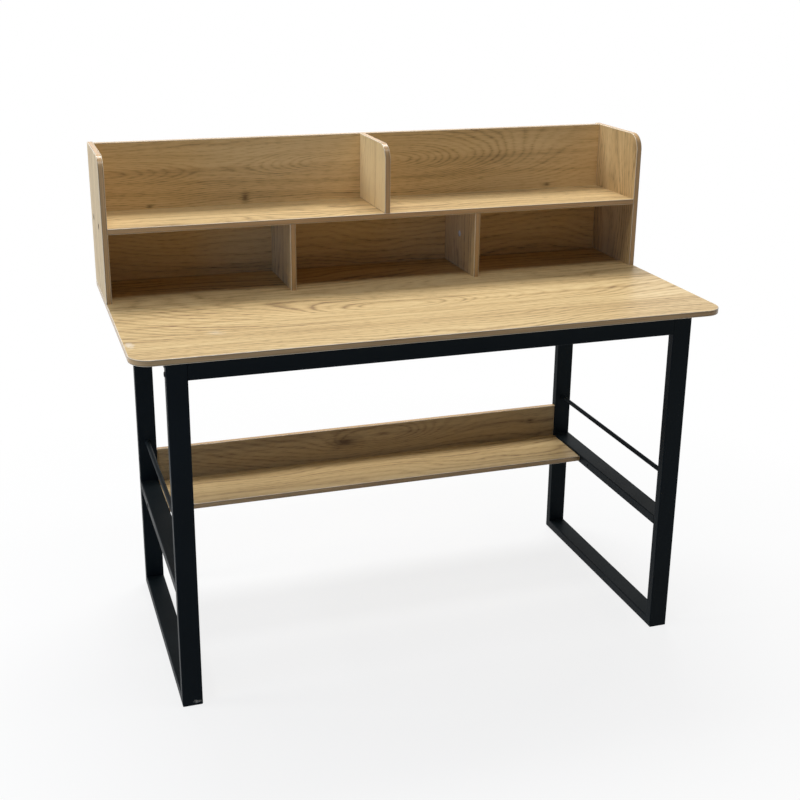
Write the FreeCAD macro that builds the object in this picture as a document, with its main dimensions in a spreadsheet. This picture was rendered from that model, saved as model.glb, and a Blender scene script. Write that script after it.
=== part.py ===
"""Writing desk with a shelf hutch: laminated boards on two welded tube frames, in millimetres.

The frame of the model has X to the right, Y to the back and Z up, with the origin on the floor
under the middle of the desktop.
"""
import FreeCAD
import Part
import Sketcher
import os
import re

# Driving dimensions, all in millimetres
sizes = {
    # Desktop
    "desktop_width": 1200,
    "desktop_depth": 600,
    "desktop_thick": 12,
    "desktop_corner": 40,
    "desk_height": 730,
    "board_edge": 1,
    # Hutch on the desktop
    "hutch_height": 300,
    "hutch_depth": 210,
    "panel_thick": 12,
    "panel_corner": 35,
    "shelf_thick": 12,
    "back_thick": 12,
    "back_inset": 12,
    "lower_bay_height": 143,
    "middle_bay_width": 404,
    # Side frames and aprons, all of one rectangular tube
    "tube_wide": 40,
    "tube_thin": 20,
    "tube_wall": 1.5,
    "tube_corner": 2,
    "frame_inset": 64,
    "frame_front_inset": 22,
    "frame_back_inset": 34,
    "mid_rail_top": 264,
    "guard_rod_diameter": 10,
    "guard_rod_height": 359,
    "vent_diameter": 5,
    "vent_distance": 315,
    "plate_thick": 4,
    "glide_thick": 2,
    "glide_length": 40,
    "glide_width": 28,
    "glide_corner": 6,
    "glide_inset": 12,
    # Lower shelf and the board behind it
    "lower_thick": 12,
    "lower_shelf_depth": 150,
    "lower_board_height": 90,
    # Bolts
    "bolt_diameter": 6,
    "bolt_head_diameter": 11,
    "bolt_head_height": 2.2,
    "bolt_end": 4,
    "apron_bolt_pitch": 20,
    "apron_bolt_rise": 3,
    # Wood screws through boards
    "screw_diameter": 4,
    "screw_head_diameter": 8,
    "screw_head_height": 2.5,
    "screw_bite": 28,
    "desktop_screw_bite": 9,
    "desktop_screw_pitch": 320,
    "base_screw_inset": 45,
    "upper_screw_inset": 45,
    "back_screw_pitch": 800,
    "rear_screw_pitch": 520,
    # Long screws into the ends of the shelves
    "end_screw_diameter": 5,
    "end_screw_head_diameter": 10,
    "end_screw_head_height": 3,
    "end_screw_bite": 32,
    "shelf_screw_inset": 60,
    "shelf_screw_pitch": 100,
    "lower_screw_inset": 35,
    "board_screw_inset": 22,
    "access_hole_diameter": 12,
    # Barrel nuts in the lower dividers
    "nut_diameter": 14,
    "nut_length": 10,
    "nut_height": 79,
    # Dowels
    "dowel_diameter": 6,
    "dowel_length": 24,
    "dowel_seat": 8,
    "dowel_inset": 40,
    # Clearances, measured on the diameter or across the width
    "bolt_clearance": 0.5,
    "thread_clearance": 0.1,
    "head_clearance": 0.4,
    "plate_clearance": 0.2,
    "dowel_end_gap": 0.5,
}

# Places that several pieces share
underside = "(desk_height - desktop_thick)"
frame_front = "(frame_front_inset - desktop_depth / 2)"
frame_depth = "(desktop_depth - frame_front_inset - frame_back_inset)"
rail_length = "(" + frame_depth + " - 2 * tube_thin)"
frame_gap = "(desktop_width - 2 * frame_inset - 2 * tube_wide)"
post_length = "(desk_height - desktop_thick - glide_thick)"
frame_face = "(desktop_width / 2 - frame_inset)"
hutch_front = "(desktop_depth / 2 - hutch_depth)"
hutch_inside = "(desktop_width - 2 * panel_thick)"
bay_depth = "(hutch_depth - back_inset - back_thick)"
divider_middle = "(middle_bay_width / 2 + panel_thick / 2)"
shelf_bottom = "(desk_height + lower_bay_height)"
shelf_middle = "(lower_bay_height + shelf_thick / 2)"
upper_bay_height = "(hutch_height - lower_bay_height - shelf_thick)"
mid_rail_middle = "(mid_rail_top - tube_thin / 2)"
lower_bottom = "(mid_rail_top - tube_thin / 2 - lower_thick / 2)"
back_post_front = "(desktop_depth / 2 - frame_back_inset - tube_thin)"
lower_board_front = "(" + back_post_front + " + tube_thin / 2 - lower_thick / 2)"

# Hole sizes
bolt_hole = "(bolt_diameter + bolt_clearance)"
bolt_thread = "(bolt_diameter + thread_clearance)"
screw_hole = "(screw_diameter + bolt_clearance)"
screw_thread = "(screw_diameter + thread_clearance)"
screw_recess = "(screw_head_diameter + head_clearance)"
end_screw_hole = "(end_screw_diameter + bolt_clearance)"
end_screw_thread = "(end_screw_diameter + thread_clearance)"
end_screw_recess = "(end_screw_head_diameter + head_clearance)"
dowel_hole = "(dowel_diameter + thread_clearance)"
nut_hole = "(nut_diameter + thread_clearance)"

doc = FreeCAD.newDocument("desk_with_shelves")
sheet = doc.addObject("Spreadsheet::Sheet", "sizes")
for row, (name, value) in enumerate(sizes.items(), 1):
    sheet.set("A%d" % row, name)
    sheet.set("B%d" % row, str(value))
    sheet.setAlias("B%d" % row, name)
doc.recompute()

nodes = []
touch = 1e-6
provisional = 10.0
hexagon_angles = range(0, 360, 60)
quarter_turn = 90


def in_sheet(formula):
    """The formula with each size's name pointed at its cell."""
    def cell(word):
        return "sizes." + word.group() if word.group() in sizes else word.group()
    return re.sub(r"[a-z][a-z_]*", cell, formula)


def bind(thing, prop, formula):
    thing.setExpression(prop, in_sheet(formula))


def place(thing, x, y, z):
    bind(thing, "Placement.Base.x", x)
    bind(thing, "Placement.Base.y", y)
    bind(thing, "Placement.Base.z", z)


def new_body(label, x="0", y="0", z="0"):
    """An empty body whose lowest corner is at x, y, z."""
    body = doc.addObject("PartDesign::Body", label)
    body.Label = label
    place(body, x, y, z)
    return body


def new_node(label, x, y, z):
    body = new_body(label, x, y, z)
    nodes.append(body)
    return body


def new_sketch(body, plane, offset="0"):
    """A sketch on one of the body's own planes, moved by offset along the plane's positive axis."""
    planes = {feature.Role: feature for feature in body.Origin.OriginFeatures}
    sketch = body.newObject("Sketcher::SketchObject", body.Name + "_sketch")
    sketch.AttachmentSupport = (planes[plane + "_Plane"], [""])
    sketch.MapMode = "FlatFace"
    if offset != "0":
        sign = "-" if plane == "XZ" else ""
        bind(sketch, "AttachmentOffset.Base.z", "%s(%s)" % (sign, offset))
    return sketch


def fix_point(sketch, piece, point, across, up):
    """Dimensions one point of the sketch from the sketch's origin."""
    for kind, axis, formula in (("DistanceX", -2, across), ("DistanceY", -1, up)):
        if formula == "0":
            sketch.addConstraint(Sketcher.Constraint("PointOnObject", piece, point, axis))
            continue
        number = sketch.addConstraint(Sketcher.Constraint(kind, -1, 1, piece, point, provisional))
        sketch.renameConstraint(number, "place_%d" % number)
        bind(sketch, "Constraints.place_%d" % number, formula)


def add_outline(sketch, corners):
    """A closed outline of straight lines through the corners."""
    first = sketch.GeometryCount
    count = len(corners)
    ring = Part.makeCircle(provisional, FreeCAD.Vector(2 * provisional, 2 * provisional, 0))
    spots = ring.discretize(count + 1)[:count]
    for index in range(count):
        sketch.addGeometry(Part.LineSegment(spots[index], spots[(index + 1) % count]), False)
    for index in range(count):
        following = first + (index + 1) % count
        sketch.addConstraint(Sketcher.Constraint("Coincident", first + index, 2, following, 1))
    for index, (across, up) in enumerate(corners):
        fix_point(sketch, first + index, 1, across, up)


def add_rectangle(sketch, low, far_across, far_up):
    """A rectangle whose lowest corner lies at low in both directions."""
    add_outline(sketch, [(low, low), (far_across, low), (far_across, far_up), (low, far_up)])


def add_circles(sketch, centres, diameter):
    for across, up in centres:
        circle = Part.Circle(FreeCAD.Vector(provisional, provisional, 0), FreeCAD.Vector(0, 0, 1), 1)
        piece = sketch.addGeometry(circle, False)
        fix_point(sketch, piece, 3, across, up)
        number = sketch.addConstraint(Sketcher.Constraint("Diameter", piece, 2))
        sketch.renameConstraint(number, "diameter_%d" % number)
        bind(sketch, "Constraints.diameter_%d" % number, diameter)


def add_hexagons(sketch, centres, diameter, turn):
    """Six-sided outlines, diameter across the corners, the first corner turned by so many degrees."""
    for across, up in centres:
        add_outline(sketch, [("%s + %s / 2 * cos(%d)" % (across, diameter, turn + angle),
                              "%s + %s / 2 * sin(%d)" % (up, diameter, turn + angle))
                             for angle in hexagon_angles])


def pad(body, sketch, plane, length):
    """Grows the sketch along the positive axis of its plane."""
    feature = body.newObject("PartDesign::Pad", body.Name + "_pad")
    feature.Profile = sketch
    feature.Reversed = plane == "XZ"
    bind(feature, "Length", length)
    doc.recompute()
    return feature


def cut(body, sketch, plane, depth, forward):
    """Cuts the sketch into the body, along the positive axis of its plane or against it."""
    before = body.Shape.Volume
    feature = body.newObject("PartDesign::Pocket", body.Name + "_cut")
    feature.Profile = sketch
    feature.Reversed = forward != (plane == "XZ")
    bind(feature, "Length", depth)
    doc.recompute()
    if body.Shape.Volume >= before:
        raise RuntimeError("a cut in %s removes nothing" % body.Label)
    return feature


def drill(body, plane, centres, diameter, depth, start="0", forward=True):
    """Hidden holes, six-sided like what sits in them, from start along the positive axis or against it."""
    sketch = new_sketch(body, plane, start)
    add_hexagons(sketch, centres, diameter, quarter_turn if plane == "YZ" else 0)
    return cut(body, sketch, plane, depth, forward)


def bore(body, plane, centres, diameter, depth, start="0", forward=True):
    """Round holes that show, from start along the positive axis or against it."""
    sketch = new_sketch(body, plane, start)
    add_circles(sketch, centres, diameter)
    return cut(body, sketch, plane, depth, forward)


def dress_edges(body, kind, size, amount, chosen):
    """Fillets or chamfers the edges of the body for which chosen says yes."""
    doc.recompute()
    base = body.Tip
    names = ["Edge%d" % number for number, edge in enumerate(base.Shape.Edges, 1) if chosen(edge.BoundBox)]
    if not names:
        raise RuntimeError("no edge to dress in %s" % body.Label)
    feature = body.newObject("PartDesign::" + kind, "%s_%s" % (body.Name, kind.lower()))
    feature.Base = (base, names)
    bind(feature, size, amount)
    doc.recompute()
    return feature


def round_edges(body, radius, chosen):
    return dress_edges(body, "Fillet", "Radius", radius, chosen)


def ease_edges(body, chosen):
    """Takes the sharpness off a board's edges."""
    return dress_edges(body, "Chamfer", "Size", "board_edge", chosen)


def near(first, second):
    return abs(first - second) < touch


def board(body, plane, width, height, thickness):
    """A plain board, with its face on the given plane."""
    sketch = new_sketch(body, plane)
    add_rectangle(sketch, "0", width, height)
    pad(body, sketch, plane, thickness)


def ease_face_edges(body, thin_axis):
    """Eases all edges round the two faces of a board that is thin along one axis."""
    whole = body.Tip.Shape.BoundBox
    low = getattr(whole, thin_axis + "Min")
    high = getattr(whole, thin_axis + "Max")

    def on_face(box):
        flat = getattr(box, thin_axis + "Length") < touch
        level = getattr(box, thin_axis + "Min")
        return flat and (near(level, low) or near(level, high))
    ease_edges(body, on_face)


def tube(body, plane, width, height, length):
    """A rectangular tube along the axis that is square to the plane, with its long edges rounded."""
    sketch = new_sketch(body, plane)
    add_rectangle(sketch, "0", width, height)
    add_rectangle(sketch, "tube_wall", width + " - tube_wall", height + " - tube_wall")
    pad(body, sketch, plane, length)
    whole = body.Tip.Shape.BoundBox
    first_axis, second_axis = plane

    def outer_corner(box):
        for axis in (first_axis, second_axis):
            if getattr(box, axis + "Length") > touch:
                return False
            level = getattr(box, axis + "Min")
            at_low = near(level, getattr(whole, axis + "Min"))
            at_high = near(level, getattr(whole, axis + "Max"))
            if not at_low and not at_high:
                return False
        return True
    round_edges(body, "tube_corner", outer_corner)


def mitre(body, corners):
    """Cuts one end of a side frame's tube to 45 degrees, seen along X."""
    sketch = new_sketch(body, "YZ")
    add_outline(sketch, corners)
    cut(body, sketch, "YZ", "tube_wide", True)


def fastener(label, kind, length, shows):
    """A bolt or screw along Z with its head at the origin. Only a head that shows is round, to save faces."""
    body = new_body(label)
    head = new_sketch(body, "XY")
    if shows:
        add_circles(head, [("0", "0")], kind + "_head_diameter")
    else:
        add_hexagons(head, [("0", "0")], kind + "_head_diameter", 0)
    pad(body, head, "XY", kind + "_head_height")
    shank = new_sketch(body, "XY", kind + "_head_height")
    add_hexagons(shank, [("0", "0")], kind + "_diameter", 0)
    pad(body, shank, "XY", length)
    return body


def group(label, master, spots):
    """Separate copies of one piece under one name: each spot is a direction and a place."""
    links = []
    for number, (direction, x, y, z) in enumerate(spots, 1):
        link = doc.addObject("App::Link", "%s_%d" % (label, number))
        link.LinkedObject = master
        turn = FreeCAD.Rotation(FreeCAD.Vector(0, 0, 1), FreeCAD.Vector(*direction))
        link.Placement = FreeCAD.Placement(FreeCAD.Vector(0, 0, 0), turn)
        place(link, x, y, z)
        links.append(link)
    compound = doc.addObject("Part::Compound", label)
    compound.Label = label
    compound.Links = links
    nodes.append(compound)


to_right = (1, 0, 0)
to_left = (-1, 0, 0)
to_front = (0, -1, 0)
upward = (0, 0, 1)
inward = {"left": to_right, "right": to_left}


# Desktop: drilled from below for the frame, the hutch sides and the divider bolts
desktop = new_node("desktop", "-desktop_width / 2", "-desktop_depth / 2", underside)
board(desktop, "XY", "desktop_width", "desktop_depth", "desktop_thick")
round_edges(desktop, "desktop_corner", lambda box: box.ZLength > touch and near(box.YMax, 0))
ease_face_edges(desktop, "Z")

rail_centre = "(frame_inset + tube_wide / 2)"
frame_middle = "(frame_front_inset + " + frame_depth + " / 2)"
hutch_start = "(desktop_depth - hutch_depth)"
bolt_depth = "(desktop_depth - hutch_depth + (hutch_depth - back_inset - back_thick) / 2)"
rail_columns = (rail_centre, "desktop_width - " + rail_centre)
rail_rows = (frame_middle + " - desktop_screw_pitch / 2", frame_middle + " + desktop_screw_pitch / 2")
side_columns = ("panel_thick / 2", "desktop_width - panel_thick / 2")
side_rows = (hutch_start + " + base_screw_inset", "desktop_depth - base_screw_inset")
divider_columns = ("desktop_width / 2 - " + divider_middle, "desktop_width / 2 + " + divider_middle)
side_holes = [(x, y) for x in side_columns for y in side_rows]
drill(desktop, "XY", [(x, y) for x in rail_columns for y in rail_rows], screw_thread, "desktop_screw_bite")
drill(desktop, "XY", side_holes, screw_hole, "desktop_thick")
drill(desktop, "XY", side_holes, screw_recess, "screw_head_height")
drill(desktop, "XY", [(x, bolt_depth) for x in divider_columns], bolt_hole, "desktop_thick")


# Hutch sides: the shelf's screws enter from outside, the dowels of the back panel from inside
shelf_screw_rows = ("shelf_screw_inset", "shelf_screw_inset + shelf_screw_pitch")
back_dowel_levels = ("dowel_inset", "hutch_height - dowel_inset")
back_middle = "(hutch_depth - back_inset - back_thick / 2)"
shelf_screw_holes = [(y, shelf_middle) for y in shelf_screw_rows]
back_dowel_holes = [(back_middle, z) for z in back_dowel_levels]
base_screw_holes = [("panel_thick / 2", y) for y in ("base_screw_inset", "hutch_depth - base_screw_inset")]
dowel_seat_depth = "dowel_seat + dowel_end_gap"
dowel_rest_depth = "dowel_length - dowel_seat + dowel_end_gap"

for side in ("left", "right"):
    at_left = side == "left"
    x = "-desktop_width / 2" if at_left else "desktop_width / 2 - panel_thick"
    panel = new_node("hutch_%s_side" % side, x, hutch_front, "desk_height")
    board(panel, "YZ", "hutch_depth", "hutch_height", "panel_thick")
    top = panel.Tip.Shape.BoundBox.ZMax
    round_edges(panel, "panel_corner",
                lambda box: box.XLength > touch and near(box.YMax, 0) and near(box.ZMin, top))
    ease_face_edges(panel, "X")
    outside = "0" if at_left else "panel_thick"
    inside = "panel_thick" if at_left else "0"
    drill(panel, "YZ", shelf_screw_holes, end_screw_hole, "panel_thick", outside, at_left)
    bore(panel, "YZ", shelf_screw_holes, end_screw_recess, "end_screw_head_height", outside, at_left)
    drill(panel, "YZ", back_dowel_holes, dowel_hole, dowel_seat_depth, inside, not at_left)
    drill(panel, "XY", base_screw_holes, screw_thread, "screw_bite")


# Hutch shelf: between the sides, in front of the back panel
shelf = new_node("hutch_shelf", "-desktop_width / 2 + panel_thick", hutch_front, shelf_bottom)
board(shelf, "XY", hutch_inside, bay_depth, "shelf_thick")
ease_edges(shelf, lambda box: box.XLength > touch and near(box.YMax, 0))

shelf_end_holes = [(y, "shelf_thick / 2") for y in shelf_screw_rows]
divider_dowel_rows = ("dowel_inset", bay_depth + " - dowel_inset")
shelf_divider_columns = (hutch_inside + " / 2 - " + divider_middle, hutch_inside + " / 2 + " + divider_middle)
upper_screw_rows = ("upper_screw_inset", bay_depth + " - upper_screw_inset")
upper_screw_holes = [(hutch_inside + " / 2", y) for y in upper_screw_rows]
back_screw_offsets = ("(-back_screw_pitch / 2)", "(back_screw_pitch / 2)")
back_screw_columns = [hutch_inside + " / 2 + " + offset for offset in back_screw_offsets]
drill(shelf, "YZ", shelf_end_holes, end_screw_thread, "end_screw_bite")
drill(shelf, "YZ", shelf_end_holes, end_screw_thread, "end_screw_bite", hutch_inside, False)
drill(shelf, "XY", [(x, y) for x in shelf_divider_columns for y in divider_dowel_rows],
      dowel_hole, dowel_seat_depth)
drill(shelf, "XY", upper_screw_holes, screw_hole, "shelf_thick")
drill(shelf, "XY", upper_screw_holes, screw_recess, "screw_head_height")
drill(shelf, "XZ", [(x, "shelf_thick / 2") for x in back_screw_columns],
      screw_thread, "screw_bite", bay_depth, False)


# Lower dividers: a barrel nut in the face towards the middle bay takes the bolt from below
divider_x = {"left": "-middle_bay_width / 2 - panel_thick", "right": "middle_bay_width / 2"}
for side in ("left", "right"):
    divider = new_node("hutch_%s_divider" % side, divider_x[side], hutch_front, "desk_height")
    board(divider, "YZ", bay_depth, "lower_bay_height", "panel_thick")
    ease_edges(divider, lambda box: box.ZLength > touch and near(box.YMax, 0))
    face = "panel_thick" if side == "left" else "0"
    drill(divider, "XY", [("panel_thick / 2", bay_depth + " / 2")], bolt_hole, "nut_height + nut_diameter")
    bore(divider, "YZ", [(bay_depth + " / 2", "nut_height")], nut_hole, "nut_length", face, side == "right")
    drill(divider, "XY", [("panel_thick / 2", y) for y in divider_dowel_rows],
          dowel_hole, dowel_rest_depth, "lower_bay_height", False)
    drill(divider, "XZ", [("panel_thick / 2", "lower_bay_height / 2")],
          screw_thread, "screw_bite", bay_depth, False)


# Upper divider: stands on the middle of the shelf
upper_divider = new_node("hutch_upper_divider", "-panel_thick / 2", hutch_front,
                         shelf_bottom + " + shelf_thick")
board(upper_divider, "YZ", bay_depth, upper_bay_height, "panel_thick")
upper_top = upper_divider.Tip.Shape.BoundBox.ZMax
round_edges(upper_divider, "panel_corner",
            lambda box: box.XLength > touch and near(box.YMax, 0) and near(box.ZMin, upper_top))
ease_face_edges(upper_divider, "X")
drill(upper_divider, "XY", [("panel_thick / 2", y) for y in upper_screw_rows], screw_thread, "screw_bite")
drill(upper_divider, "XZ", [("panel_thick / 2", upper_bay_height + " / 2")],
      screw_thread, "screw_bite", bay_depth, False)


# Back panel: between the sides, screwed from behind to the shelf and the dividers
back_front = "(desktop_depth / 2 - back_inset - back_thick)"
back_panel = new_node("hutch_back_panel", "-desktop_width / 2 + panel_thick", back_front, "desk_height")
board(back_panel, "XZ", hutch_inside, "hutch_height", "back_thick")
back_top = back_panel.Tip.Shape.BoundBox.ZMax
ease_edges(back_panel, lambda box: box.XLength > touch and near(box.ZMin, back_top))
back_screw_holes = [(x, shelf_middle) for x in back_screw_columns]
back_screw_holes += [(x, "lower_bay_height / 2") for x in shelf_divider_columns]
back_screw_holes.append((hutch_inside + " / 2", "hutch_height - " + upper_bay_height + " / 2"))
drill(back_panel, "XZ", back_screw_holes, screw_hole, "back_thick", "back_thick", False)
panel_end_dowels = [("back_thick / 2", z) for z in back_dowel_levels]
drill(back_panel, "YZ", panel_end_dowels, dowel_hole, dowel_rest_depth)
drill(back_panel, "YZ", panel_end_dowels, dowel_hole, dowel_rest_depth, hutch_inside, False)


# Side frames: posts mitred to the floor runner, rails and guard rod set between the posts
apron_bolt_offsets = (" + apron_bolt_rise - apron_bolt_pitch / 2",
                      " + apron_bolt_rise + apron_bolt_pitch / 2")
apron_bolt_levels = [post_length + " - tube_wide / 2" + offset for offset in apron_bolt_offsets]
board_screw_levels = [lower_bottom + " - glide_thick + " + offset
                      for offset in ("board_screw_inset", "lower_board_height - board_screw_inset")]
rail_start = frame_front + " + tube_thin"
shelf_start = "(" + rail_length + " + tube_thin / 2 - lower_thick / 2 - lower_shelf_depth)"
lower_screw_rows = [shelf_start + " + " + offset
                    for offset in ("lower_screw_inset", "lower_shelf_depth - lower_screw_inset")]
frame_x = {"left": "-" + frame_face, "right": frame_face + " - tube_wide"}

for side in ("left", "right"):
    x = frame_x[side]
    inner_face, outer_face = ("tube_wide", "0") if side == "left" else ("0", "tube_wide")
    front_post = new_node("%s_front_post" % side, x, frame_front, "glide_thick")
    tube(front_post, "XY", "tube_wide", "tube_thin", post_length)
    mitre(front_post, [("0", "0"), ("tube_thin", "0"), ("tube_thin", "tube_thin")])
    drill(front_post, "YZ", [("tube_thin / 2", z) for z in apron_bolt_levels], bolt_hole, "tube_wide")

    back_post = new_node("%s_back_post" % side, x, back_post_front, "glide_thick")
    tube(back_post, "XY", "tube_wide", "tube_thin", post_length)
    mitre(back_post, [("0", "0"), ("tube_thin", "0"), ("0", "tube_thin")])
    drill(back_post, "YZ", [("tube_thin / 2", z) for z in apron_bolt_levels], bolt_hole, "tube_wide")
    board_screw_spots = [("tube_thin / 2", z) for z in board_screw_levels]
    drill(back_post, "YZ", board_screw_spots, end_screw_hole, "tube_wall", inner_face, side == "right")
    bore(back_post, "YZ", board_screw_spots, "access_hole_diameter", "tube_wall", outer_face, side == "left")

    runner = new_node("%s_floor_runner" % side, x, frame_front, "glide_thick")
    tube(runner, "XZ", "tube_wide", "tube_thin", frame_depth)
    mitre(runner, [("0", "0"), ("tube_thin", "tube_thin"), ("0", "tube_thin")])
    mitre(runner, [(frame_depth, "0"), (frame_depth, "tube_thin"),
                   (frame_depth + " - tube_thin", "tube_thin")])

    top_rail = new_node("%s_top_rail" % side, x, rail_start, underside + " - tube_thin")
    tube(top_rail, "XZ", "tube_wide", "tube_thin", rail_length)
    rail_screw_rows = [rail_length + " / 2" + offset
                       for offset in (" - desktop_screw_pitch / 2", " + desktop_screw_pitch / 2")]
    drill(top_rail, "XY", [("tube_wide / 2", y) for y in rail_screw_rows], screw_hole, "tube_thin")

    mid_rail = new_node("%s_mid_rail" % side, x, rail_start, "mid_rail_top - tube_thin")
    tube(mid_rail, "XZ", "tube_wide", "tube_thin", rail_length)
    lower_screw_spots = [(y, "tube_thin / 2") for y in lower_screw_rows]
    drill(mid_rail, "YZ", lower_screw_spots, end_screw_hole, "tube_wall", inner_face, side == "right")
    bore(mid_rail, "YZ", lower_screw_spots, "access_hole_diameter", "tube_wall", outer_face, side == "left")
    bore(mid_rail, "YZ", [("vent_distance", "tube_thin / 2")], "vent_diameter", "tube_wall",
         inner_face, side == "right")

    rod = doc.addObject("Part::Cylinder", "%s_guard_rod" % side)
    rod.Label = "%s_guard_rod" % side
    rod.Placement = FreeCAD.Placement(FreeCAD.Vector(0, 0, 0), FreeCAD.Rotation(FreeCAD.Vector(1, 0, 0), -90))
    place(rod, x + " + tube_wide / 2", rail_start, "guard_rod_height")
    bind(rod, "Radius", "guard_rod_diameter / 2")
    bind(rod, "Height", rail_length)
    nodes.append(rod)


# Aprons: the same tube on edge, with a threaded plate welded into each end
for label, y in (("front_apron", frame_front), ("rear_apron", back_post_front)):
    apron = new_node(label, "-" + frame_gap + " / 2", y, underside + " - tube_wide")
    tube(apron, "YZ", "tube_thin", "tube_wide", frame_gap)

plate = new_body("apron_end_plate")
plate_width = "(tube_thin - 2 * tube_wall - plate_clearance)"
plate_height = "(tube_wide - 2 * tube_wall - plate_clearance)"
board(plate, "YZ", plate_width, plate_height, "plate_thick")
plate_holes = [(plate_width + " / 2", plate_height + " / 2" + offset) for offset in apron_bolt_offsets]
drill(plate, "YZ", plate_holes, bolt_thread, "plate_thick")


# Lower shelf and the board behind it
lower_shelf = new_node("lower_shelf", "-" + frame_gap + " / 2",
                       lower_board_front + " - lower_shelf_depth", lower_bottom)
board(lower_shelf, "XY", frame_gap, "lower_shelf_depth", "lower_thick")
ease_edges(lower_shelf, lambda box: box.XLength > touch and near(box.YMax, 0))
lower_end_holes = [(offset, "lower_thick / 2")
                   for offset in ("lower_screw_inset", "lower_shelf_depth - lower_screw_inset")]
rear_screw_offsets = ("(-rear_screw_pitch / 2)", "(rear_screw_pitch / 2)")
rear_screw_columns = [frame_gap + " / 2 + " + offset for offset in rear_screw_offsets]
drill(lower_shelf, "YZ", lower_end_holes, end_screw_thread, "end_screw_bite")
drill(lower_shelf, "YZ", lower_end_holes, end_screw_thread, "end_screw_bite", frame_gap, False)
drill(lower_shelf, "XZ", [(x, "lower_thick / 2") for x in rear_screw_columns],
      screw_thread, "screw_bite", "lower_shelf_depth", False)

lower_board = new_node("lower_back_board", "-" + frame_gap + " / 2", lower_board_front, lower_bottom)
board(lower_board, "XZ", frame_gap, "lower_board_height", "lower_thick")
lower_top = lower_board.Tip.Shape.BoundBox.ZMax
ease_edges(lower_board, lambda box: box.XLength > touch and near(box.ZMin, lower_top))
board_end_holes = [("lower_thick / 2", offset)
                   for offset in ("board_screw_inset", "lower_board_height - board_screw_inset")]
rear_screw_holes = [(x, "lower_thick / 2") for x in rear_screw_columns]
drill(lower_board, "YZ", board_end_holes, end_screw_thread, "end_screw_bite")
drill(lower_board, "YZ", board_end_holes, end_screw_thread, "end_screw_bite", frame_gap, False)
drill(lower_board, "XZ", rear_screw_holes, screw_hole, "lower_thick", "lower_thick", False)


# Masters of the repeated pieces
apron_bolt = fastener("apron_bolt", "bolt", "tube_wide + plate_thick + bolt_end", True)
shelf_screw = fastener("shelf_end_screw", "end_screw",
                       "panel_thick - end_screw_head_height + end_screw_bite", True)
lower_screw = fastener("lower_shelf_screw", "end_screw", "tube_wall + end_screw_bite", False)
back_screw = fastener("back_panel_screw", "screw", "back_thick + screw_bite", True)
rear_screw = fastener("lower_rear_screw", "screw", "lower_thick + screw_bite", True)
divider_bolt = fastener("divider_bolt", "bolt", "desktop_thick + nut_height + nut_diameter / 2", False)
desktop_screw = fastener("desktop_screw", "screw", "tube_thin + desktop_screw_bite", False)
base_screw = fastener("hutch_base_screw", "screw", "desktop_thick - screw_head_height + screw_bite", False)
upper_screw = fastener("upper_divider_screw", "screw", "shelf_thick - screw_head_height + screw_bite", False)

dowel = new_body("wood_dowel")
dowel_sketch = new_sketch(dowel, "XY")
add_hexagons(dowel_sketch, [("0", "0")], "dowel_diameter", 0)
pad(dowel, dowel_sketch, "XY", "dowel_length")

nut = new_body("barrel_nut")
nut_sketch = new_sketch(nut, "XY")
add_circles(nut_sketch, [("0", "0")], "nut_diameter")
pad(nut, nut_sketch, "XY", "nut_length")
nut_thread = new_sketch(nut, "YZ", "-nut_diameter / 2")
add_hexagons(nut_thread, [("0", "panel_thick / 2")], bolt_thread, quarter_turn)
cut(nut, nut_thread, "YZ", "nut_diameter", True)

glide = new_body("floor_glide")
board(glide, "XY", "glide_width", "glide_length", "glide_thick")
dress_edges(glide, "Chamfer", "Size", "glide_corner", lambda box: box.ZLength > touch)


# Groups of identical pieces, each head seated on its board or tube; those of the lower boards sit inside
post_rows = (frame_front + " + tube_thin / 2", back_post_front + " + tube_thin / 2")
bolt_levels = [underside + " - tube_wide / 2" + offset for offset in apron_bolt_offsets]
head_out = {"left": "-" + frame_face + " - ", "right": frame_face + " + "}

group("apron_bolts", apron_bolt, [
    (inward[side], head_out[side] + "bolt_head_height", y, z)
    for side in inward for y in post_rows for z in bolt_levels])

plate_margin = "tube_wall + plate_clearance / 2"
plate_x = ("-" + frame_gap + " / 2", frame_gap + " / 2 - plate_thick")
plate_rows = (frame_front, back_post_front)
group("apron_end_plates", plate, [
    (upward, x, y + " + " + plate_margin, underside + " - tube_wide + " + plate_margin)
    for x in plate_x for y in plate_rows])

rail_x = ("-" + frame_face + " + tube_wide / 2", frame_face + " - tube_wide / 2")
group("desktop_screws", desktop_screw, [
    (upward, x, "%s - desktop_depth / 2" % y, underside + " - tube_thin - screw_head_height")
    for x in rail_x for y in rail_rows])

side_x = ("-desktop_width / 2 + panel_thick / 2", "desktop_width / 2 - panel_thick / 2")
group("hutch_base_screws", base_screw, [
    (upward, x, "%s - desktop_depth / 2" % y, underside) for x in side_x for y in side_rows])

divider_x_middle = ("-" + divider_middle, divider_middle)
bay_middle = hutch_front + " + " + bay_depth + " / 2"
group("divider_bolts", divider_bolt, [
    (upward, x, bay_middle, underside + " - bolt_head_height") for x in divider_x_middle])

nut_level = "desk_height + nut_height"
group("barrel_nuts", nut, [
    (to_left, "-middle_bay_width / 2", bay_middle, nut_level),
    (to_right, "middle_bay_width / 2", bay_middle, nut_level)])

divider_dowels = [(upward, x, hutch_front + " + " + y, shelf_bottom + " + dowel_seat - dowel_length")
                  for x in divider_x_middle for y in divider_dowel_rows]
panel_dowel_x = {"left": "-desktop_width / 2 + panel_thick - dowel_seat",
                 "right": "desktop_width / 2 - panel_thick + dowel_seat"}
panel_dowels = [(inward[side], panel_dowel_x[side], hutch_front + " + " + back_middle, "desk_height + " + z)
                for side in inward for z in back_dowel_levels]
group("wood_dowels", dowel, divider_dowels + panel_dowels)

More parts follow.
